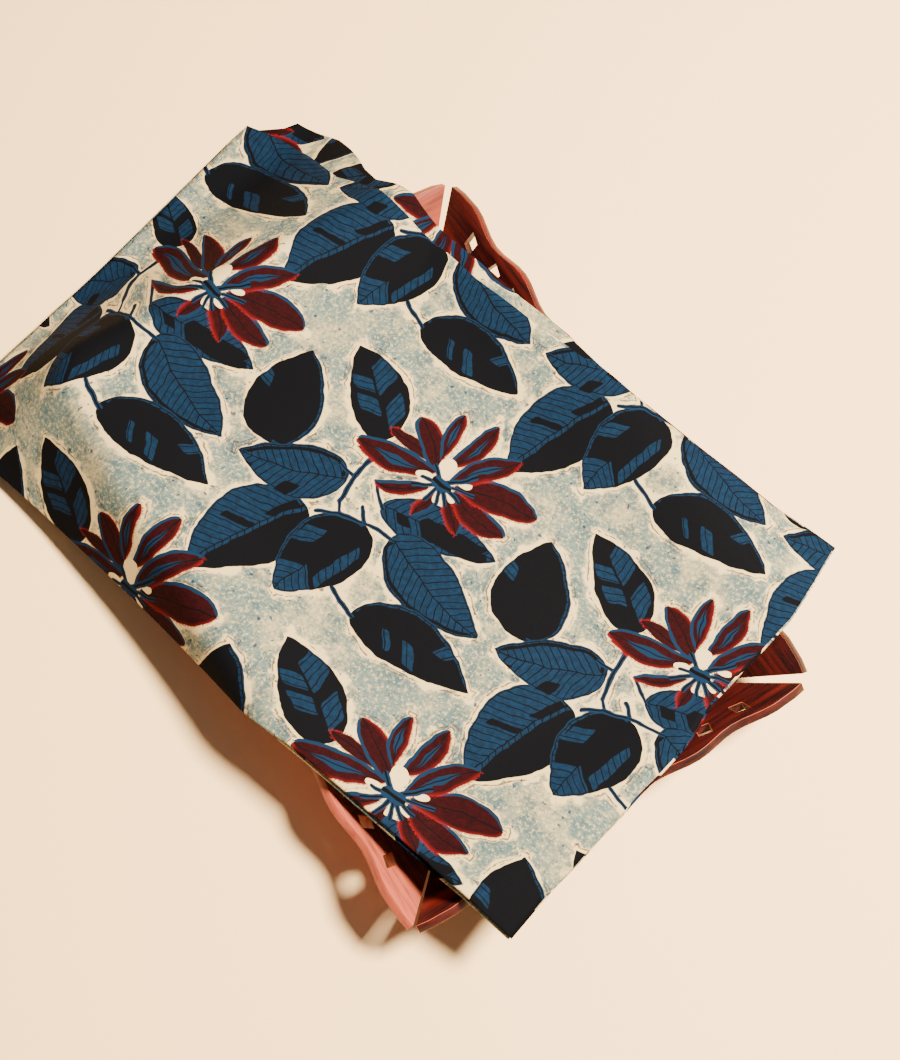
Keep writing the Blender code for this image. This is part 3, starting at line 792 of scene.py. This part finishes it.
def addGround(tree, place, gap, grain):
    # Cream resist close to the ink, mottled grey-green and blue further away
    p, look = printSettings, groundSettings
    clouds = noise(tree, place, *look["cloudNoise"])[0]
    patchy = noise(tree, place, *look["patchNoise"])[0]
    speckle = noise(tree, place, *look["speckNoise"])[0]
    color = blendColors(tree, ramp(tree, clouds, *look["green"]), p["groundLight"], p["ground"])
    color = blendColors(tree, ramp(tree, patchy, *look["bluePatches"]), color, p["groundDeep"])
    color = blendColors(tree, ramp(tree, speckle, *look["creamSpecks"]), color, p["cream"])
    color = blendColors(tree, ramp(tree, speckle, *look["blueSpecks"]), color, p["groundDeep"])
    edge = calc(tree, "MULTIPLY_ADD", calc(tree, "SUBTRACT", patchy, 0.5), look["marginWander"], gap)
    edge = calc(tree, "MULTIPLY_ADD", calc(tree, "SUBTRACT", speckle, 0.5), look["marginGrit"], edge)
    color = blendColors(tree, ramp(tree, edge, *look["margin"]), color, p["cream"])
    # Thin brown lines where the resist paste ended, broken up and mostly double
    wander = calc(tree, "MULTIPLY_ADD", calc(tree, "SUBTRACT", patchy, 0.5), look["lineWander"], gap)
    line = ramp(tree, calc(tree, "PINGPONG", wander, look["lineGap"]), *look["lineHalf"])
    line = calc(tree, "MULTIPLY", line, ramp(tree, gap, *look["linesFrom"]))
    line = calc(tree, "MULTIPLY", line, ramp(tree, gap, *look["linesTo"]))
    line = calc(tree, "MULTIPLY", line, ramp(tree, grain, *look["lineBreaks"]))
    line = calc(tree, "MULTIPLY", line, ramp(tree, clouds, *look["lineAreas"]))
    color = blendColors(tree, calc(tree, "MULTIPLY", line, look["lineStrength"]), color, p["brown"])
    flecks = ramp(tree, noise(tree, place, *look["fleckNoise"])[0], *look["flecks"])
    return blendColors(tree, calc(tree, "MULTIPLY", flecks, look["fleckStrength"]), color, p["blue"])


def buildPrintGroup():
    # The whole printed cloth: leaves, stems and the flower over the ground. Keep this order, in which
    # a node comes after those it reads: the cloth renders black when too many values wait for use
    p, mm = printSettings, millimetre
    tree, takes, gives = newGroup("blockPrint", (("Place", "Vector"),), (("Color", "Color"),))
    repeatGroup = buildRepeatGroup()
    placeGroup = buildLeafPlaceGroup(repeatGroup)
    patchGroup, inkGroup = buildPatchGroup(), buildLeafInkGroup()
    petalGroup, strokeGroup, dropGroup = buildPetalGroup(), buildStrokeGroup(), buildDropGroup()
    wander = noise(tree, takes["Place"], *p["unevenNoise"])["Color"]
    ragged = moveVector(tree, "SUBTRACT", wander, (0.5, 0.5, 0.5))
    place = moveVector(tree, "ADD", takes["Place"], moveVector(tree, "SCALE", ragged, p["uneven"]))
    grain = noise(tree, takes["Place"], *p["grainNoise"])[0]
    spots = noise(tree, takes["Place"], *p["spotNoise"])[0]
    flower = Vector((*p["flowerPlace"], 0.0))
    state = {"Paint": p["cream"], "Gap": 1.0, "Cover": 0.0}
    for name, (along, across, turn, length, width, bend, black, rimSide, rimBlack) in leaves.items():
        spot = useGroup(tree, placeGroup, Place=place, Middle=flower + Vector((along, across, 0.0)) * mm,
                        Turn=math.radians(turn), Length=length * mm, Width=width * mm, Bend=bend)
        dark = float(black)
        for leaf, side, start, finish, near, far in patches:
            if leaf == name:
                dark = useGroup(tree, patchGroup, Dark=dark, Slant=spot["Slant"], Rib=spot["Rib"],
                                Side=float(side), From=start * mm, To=finish * mm, Near=near * mm,
                                Far=far * mm)["Dark"]
        done = useGroup(tree, inkGroup, Dark=dark, Grain=grain, Slant=spot["Slant"], Rib=spot["Rib"],
                        Outside=spot["Outside"], **{"Rim Side": float(rimSide), "Rim Black": float(rimBlack)},
                        **state)
        state = {label: done[label] for label in state}
    for fromAlong, fromAcross, toAlong, toAcross, thick in stems:
        middle = flower + Vector((fromAlong + toAlong, fromAcross + toAcross, 0.0)) * (0.5 * mm)
        local = useGroup(tree, repeatGroup, Place=place, Middle=middle)["Local"]
        done = useGroup(tree, strokeGroup, Local=local, Black=1.0, Thick=thick * mm,
                        Turn=math.atan2(toAcross - fromAcross, toAlong - fromAlong),
                        Length=math.hypot(toAlong - fromAlong, toAcross - fromAcross) * mm, **state)
        state = {label: done[label] for label in state}
    local = useGroup(tree, repeatGroup, Place=place, Middle=flower)["Local"]
    for footAlong, footAcross, tipAlong, tipAcross, width, bend, side, streak in petals:
        middle = Vector((footAlong + tipAlong, footAcross + tipAcross, 0.0)) * (0.5 * mm)
        done = useGroup(tree, petalGroup, Local=local, Grain=grain, Spots=spots, Middle=middle,
                        Turn=math.atan2(tipAcross - footAcross, tipAlong - footAlong),
                        Length=math.hypot(tipAlong - footAlong, tipAcross - footAcross) * mm,
                        Width=width * mm, Bend=bend, Side=float(side), Streak=streak, **state)
        state = {label: done[label] for label in state}
    for along, across, turn, length, width in drops:
        done = useGroup(tree, dropGroup, Paint=state["Paint"], Cover=state["Cover"], Local=local,
                        Middle=Vector((along, across, 0.0)) * mm, Turn=math.radians(turn),
                        Length=length * mm, Width=width * mm)
        state.update(Paint=done["Paint"], Cover=done["Cover"])
    for turn, start, finish, thick in arms:
        angle = math.radians(turn)
        middle = Vector((math.cos(angle), math.sin(angle), 0.0)) * (start + finish) * (0.5 * mm)
        done = useGroup(tree, strokeGroup, Local=moveVector(tree, "SUBTRACT", local, middle), Turn=angle,
                        Length=(finish - start) * mm, Thick=thick * mm, Black=1.0, **state)
        state = {label: done[label] for label in state}
    ground = addGround(tree, takes["Place"], state["Gap"], grain)
    join(tree, blendColors(tree, state["Cover"], ground, state["Paint"]), gives["Color"])
    return tree


# Weave and sheen of the silk
silkSettings = {
    "specular": 0.03,
    "roughness": 0.68,
    "roughnessOfWeave": 0.2,
    "threadNoise": (0.0006, 2.0),
    "bump": 0.35,
    "bumpDepth": 0.0002,
}


def makeSilk():
    look = silkSettings
    material = bpy.data.materials.new("printedSilk")
    material.use_nodes = True
    tree = material.node_tree
    surface = tree.nodes["Principled BSDF"]
    flatPlace = tree.nodes.new("ShaderNodeUVMap")
    flatPlace.uv_map = "clothFlat"
    printed = useGroup(tree, buildPrintGroup(), Place=flatPlace.outputs[0])
    join(tree, printed["Color"], surface.inputs["Base Color"])
    surface.inputs["Specular IOR Level"].default_value = look["specular"]
    weave = noise(tree, flatPlace.outputs[0], *look["threadNoise"])[0]
    roughness = calc(tree, "MULTIPLY_ADD", weave, look["roughnessOfWeave"], look["roughness"])
    join(tree, roughness, surface.inputs["Roughness"])
    addBump(tree, weave, look, surface)
    return material


# Wood of the tray: colours, grain and polish, and a painted highlight on the rounded edges
woodSettings = {
    "dark": tone(24, 7, 8),
    "middle": tone(66, 14, 12),
    "light": tone(112, 30, 20),
    # Painted highlight on the rounded board edges
    "edgeHighlight": tone(176, 84, 50),
    "sunlit": tone(188, 92, 70),
    "roughness": 0.34,
    "roughnessOfPores": 0.18,
    "alongGrain": (0.09, 1.0, 1.0),
    "alongPores": (0.04, 1.0, 1.0),
    "streakNoise": (0.0026, 5.0, 0.65),
    "broadNoise": (0.014, 3.0, 0.5),
    "poreNoise": (0.0007, 2.0, 0.6),
    "darkToMiddle": (0.35, 0.68),
    "lightBands": (0.48, 0.75, 0.0, 0.7),
    "darkPores": (0.58, 0.72, 0.0, 0.6),
    "sunlitStreaks": (0.28, 0.60, 0.45, 1.0),
    "edgeHighlightStreaks": (0.25, 0.55, 0.55, 1.0),
    "poreDepth": 0.6,
    "sunlitFront": 0.68,
    "sunlitLeft": 0.4,
    "specular": 0.35,
    "coat": 0.06,
    "coatRoughness": 0.25,
    "bump": 0.25,
    "bumpDepth": 0.0003,
}


def buildGrainGroup():
    tree, takes, gives = newGroup("woodGrain", (("Place", "Vector"), ("Wear", "Float"), ("Sunlit", "Float")),
                                  (("Color", "Color"), ("Roughness", "Float"), ("Height", "Float")))
    w = woodSettings
    stretch = moveVector(tree, "MULTIPLY", takes["Place"], w["alongGrain"])
    streaks = noise(tree, stretch, *w["streakNoise"])[0]
    broad = noise(tree, stretch, *w["broadNoise"])[0]
    fine = moveVector(tree, "MULTIPLY", takes["Place"], w["alongPores"])
    pores = noise(tree, fine, *w["poreNoise"])[0]
    color = blendColors(tree, ramp(tree, streaks, *w["darkToMiddle"]), w["dark"], w["middle"])
    color = blendColors(tree, ramp(tree, broad, *w["lightBands"]), color, w["light"])
    color = blendColors(tree, ramp(tree, pores, *w["darkPores"]), color, w["dark"])
    pale = calc(tree, "MULTIPLY", takes["Sunlit"], ramp(tree, streaks, *w["sunlitStreaks"]))
    color = blendColors(tree, pale, color, w["sunlit"])
    # Painted highlight: paler colour on the rounded edges, broken up by the grain streaks
    edgeHighlight = calc(tree, "MULTIPLY", takes["Wear"], ramp(tree, streaks, *w["edgeHighlightStreaks"]))
    join(tree, blendColors(tree, edgeHighlight, color, w["edgeHighlight"]), gives["Color"])
    roughness = calc(tree, "MULTIPLY_ADD", pores, w["roughnessOfPores"], w["roughness"])
    join(tree, roughness, gives["Roughness"])
    join(tree, calc(tree, "MULTIPLY_ADD", pores, -w["poreDepth"], streaks), gives["Height"])
    return tree


def makeWood(name, grainGroup, turn, sunlit=0.0):
    material = bpy.data.materials.new(name)
    material.use_nodes = True
    tree = material.node_tree
    surface = tree.nodes["Principled BSDF"]
    place = tree.nodes.new("ShaderNodeTexCoord").outputs["Object"]
    turned = tree.nodes.new("ShaderNodeVectorRotate")
    turned.rotation_type = "Z_AXIS"
    turned.inputs["Angle"].default_value = -turn
    join(tree, place, turned.inputs["Vector"])
    # Reads the marks of the faces that get the painted edge highlight
    highlightMark = tree.nodes.new("ShaderNodeAttribute")
    highlightMark.attribute_name = "highlightedEdge"
    grain = useGroup(tree, grainGroup, Place=turned.outputs[0], Wear=highlightMark.outputs["Fac"], Sunlit=sunlit)
    join(tree, grain["Color"], surface.inputs["Base Color"])
    join(tree, grain["Roughness"], surface.inputs["Roughness"])
    surface.inputs["Specular IOR Level"].default_value = woodSettings["specular"]
    surface.inputs["Coat Weight"].default_value = woodSettings["coat"]
    surface.inputs["Coat Roughness"].default_value = woodSettings["coatRoughness"]
    addBump(tree, grain["Height"], woodSettings, surface)
    return material


def makeBoard(node, name, material):
    # The imported board again, with its sharp edges rounded and marked for the painted edge highlight
    t = traySettings
    shape = bmesh.new()
    shape.from_mesh(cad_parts[node].data)
    bmesh.ops.remove_doubles(shape, verts=shape.verts, dist=t["mergeWithin"])
    bmesh.ops.dissolve_limit(shape, angle_limit=t["flatWithin"], verts=shape.verts, edges=shape.edges)
    sharpEdges = [edge for edge in shape.edges if edge.calc_face_angle(0.0) > t["sharpFrom"]]
    rounded = bmesh.ops.bevel(shape, geom=sharpEdges, offset=t["roundedEdge"], segments=t["edgeSegments"],
                              profile=0.5, affect="EDGES", clamp_overlap=True)
    edgeHighlight = set(rounded["faces"])
    shape.faces.index_update()
    marks = [1.0 if face in edgeHighlight else 0.0 for face in shape.faces]
    mesh = bpy.data.meshes.new(name)
    shape.to_mesh(mesh)
    shape.free()
    highlightMark = mesh.attributes.new("highlightedEdge", "FLOAT", "FACE")
    highlightMark.data.foreach_set("value", marks)
    mesh.materials.append(material)
    mesh.shade_smooth()
    mesh.set_sharp_from_angle(angle=t["smoothBelow"])
    board = bpy.data.objects.new(name, mesh)
    bpy.context.scene.collection.objects.link(board)
    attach(board, "root")
    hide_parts(node)


# Floor, lights and camera
studioSettings = {
    "floorColor": tone(249, 212, 158),
    "floorSize": 6.0,
    "floorPlace": (0.0, 0.0, -0.0005),
    "floorRoughness": 0.85,
    "towardsLight": (0.347, 0.315, 0.883),
    "lightAway": 1.9,
    "lightSize": 0.42,
    "lightPower": 220.0,
    "lightColor": (1.0, 0.86, 0.67),
    "skyColor": (0.97, 0.86, 0.83),
    "skyStrength": 0.19,
    "cameraPlace": (0.2224, -0.2766, 0.9622),
    "cameraTurn": ((0.76102, -0.61133, 0.21709),
                   (0.64837, 0.70565, -0.28579),
                   (0.02152, 0.35824, 0.93338)),
    "lens": 57.89,
    "sensorHeight": 36.0,
    "nearestSeen": 0.01,
}


def makeFloor():
    s = studioSettings
    bpy.ops.mesh.primitive_plane_add(size=s["floorSize"], location=s["floorPlace"])
    floor = bpy.context.object
    floor.name = "pale_floor"
    material = bpy.data.materials.new("paleFloor")
    material.use_nodes = True
    surface = material.node_tree.nodes["Principled BSDF"]
    surface.inputs["Base Color"].default_value = s["floorColor"]
    surface.inputs["Roughness"].default_value = s["floorRoughness"]
    floor.data.materials.append(material)


def makeLights():
    towards = Vector(studioSettings["towardsLight"]).normalized()
    lamp = bpy.data.lights.new("softWindow", "AREA")
    lamp.shape = "DISK"
    lamp.size = studioSettings["lightSize"]
    lamp.energy = studioSettings["lightPower"]
    lamp.color = studioSettings["lightColor"]
    holder = bpy.data.objects.new("softWindow", lamp)
    holder.location = towards * studioSettings["lightAway"]
    holder.rotation_euler = towards.to_track_quat("Z", "Y").to_euler()
    bpy.context.scene.collection.objects.link(holder)
    world = bpy.context.scene.world or bpy.data.worlds.new("softRoom")
    bpy.context.scene.world = world
    world.use_nodes = True
    sky = world.node_tree.nodes["Background"]
    sky.inputs["Color"].default_value = studioSettings["skyColor"] + (1.0,)
    sky.inputs["Strength"].default_value = studioSettings["skyStrength"]


def makeCamera():
    view = bpy.data.cameras.new("photoView")
    view.sensor_fit = "VERTICAL"
    view.sensor_height = studioSettings["sensorHeight"]
    view.lens = studioSettings["lens"]
    view.clip_start = studioSettings["nearestSeen"]
    camera = bpy.data.objects.new("photoView", view)
    turn = Matrix(studioSettings["cameraTurn"]).to_4x4()
    camera.matrix_world = Matrix.Translation(studioSettings["cameraPlace"]) @ turn
    bpy.context.scene.collection.objects.link(camera)
    bpy.context.scene.camera = camera


makeFloor()
makeLights()
makeCamera()
print("floor, lights and camera are in place")

silkCloth = makeCloth()
silkCloth.data.materials.append(makeSilk())
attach(silkCloth, "root")
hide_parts("folded_cloth")
print("silk is folded over the tray")

grainGroup = buildGrainGroup()
alongTray = traySettings["turn"]
acrossTray = traySettings["turn"] + 0.5 * math.pi
woodAlong = makeWood("redwoodAlong", grainGroup, alongTray)
woodAcross = makeWood("redwoodAcross", grainGroup, acrossTray)
woodFront = makeWood("redwoodFront", grainGroup, alongTray, woodSettings["sunlitFront"])
woodLeft = makeWood("redwoodLeft", grainGroup, acrossTray, woodSettings["sunlitLeft"])
for node, name, material in (
    ("tray_base", "tray_floor_board", woodAlong),
    ("tray_wall_front", "tray_rim_front", woodFront),
    ("tray_wall_back", "tray_rim_back", woodAlong),
    ("tray_wall_left", "tray_rim_left", woodLeft),
    ("tray_wall_right", "tray_rim_right", woodAcross),
):
    makeBoard(node, name, material)
print("tray boards are rounded and polished")
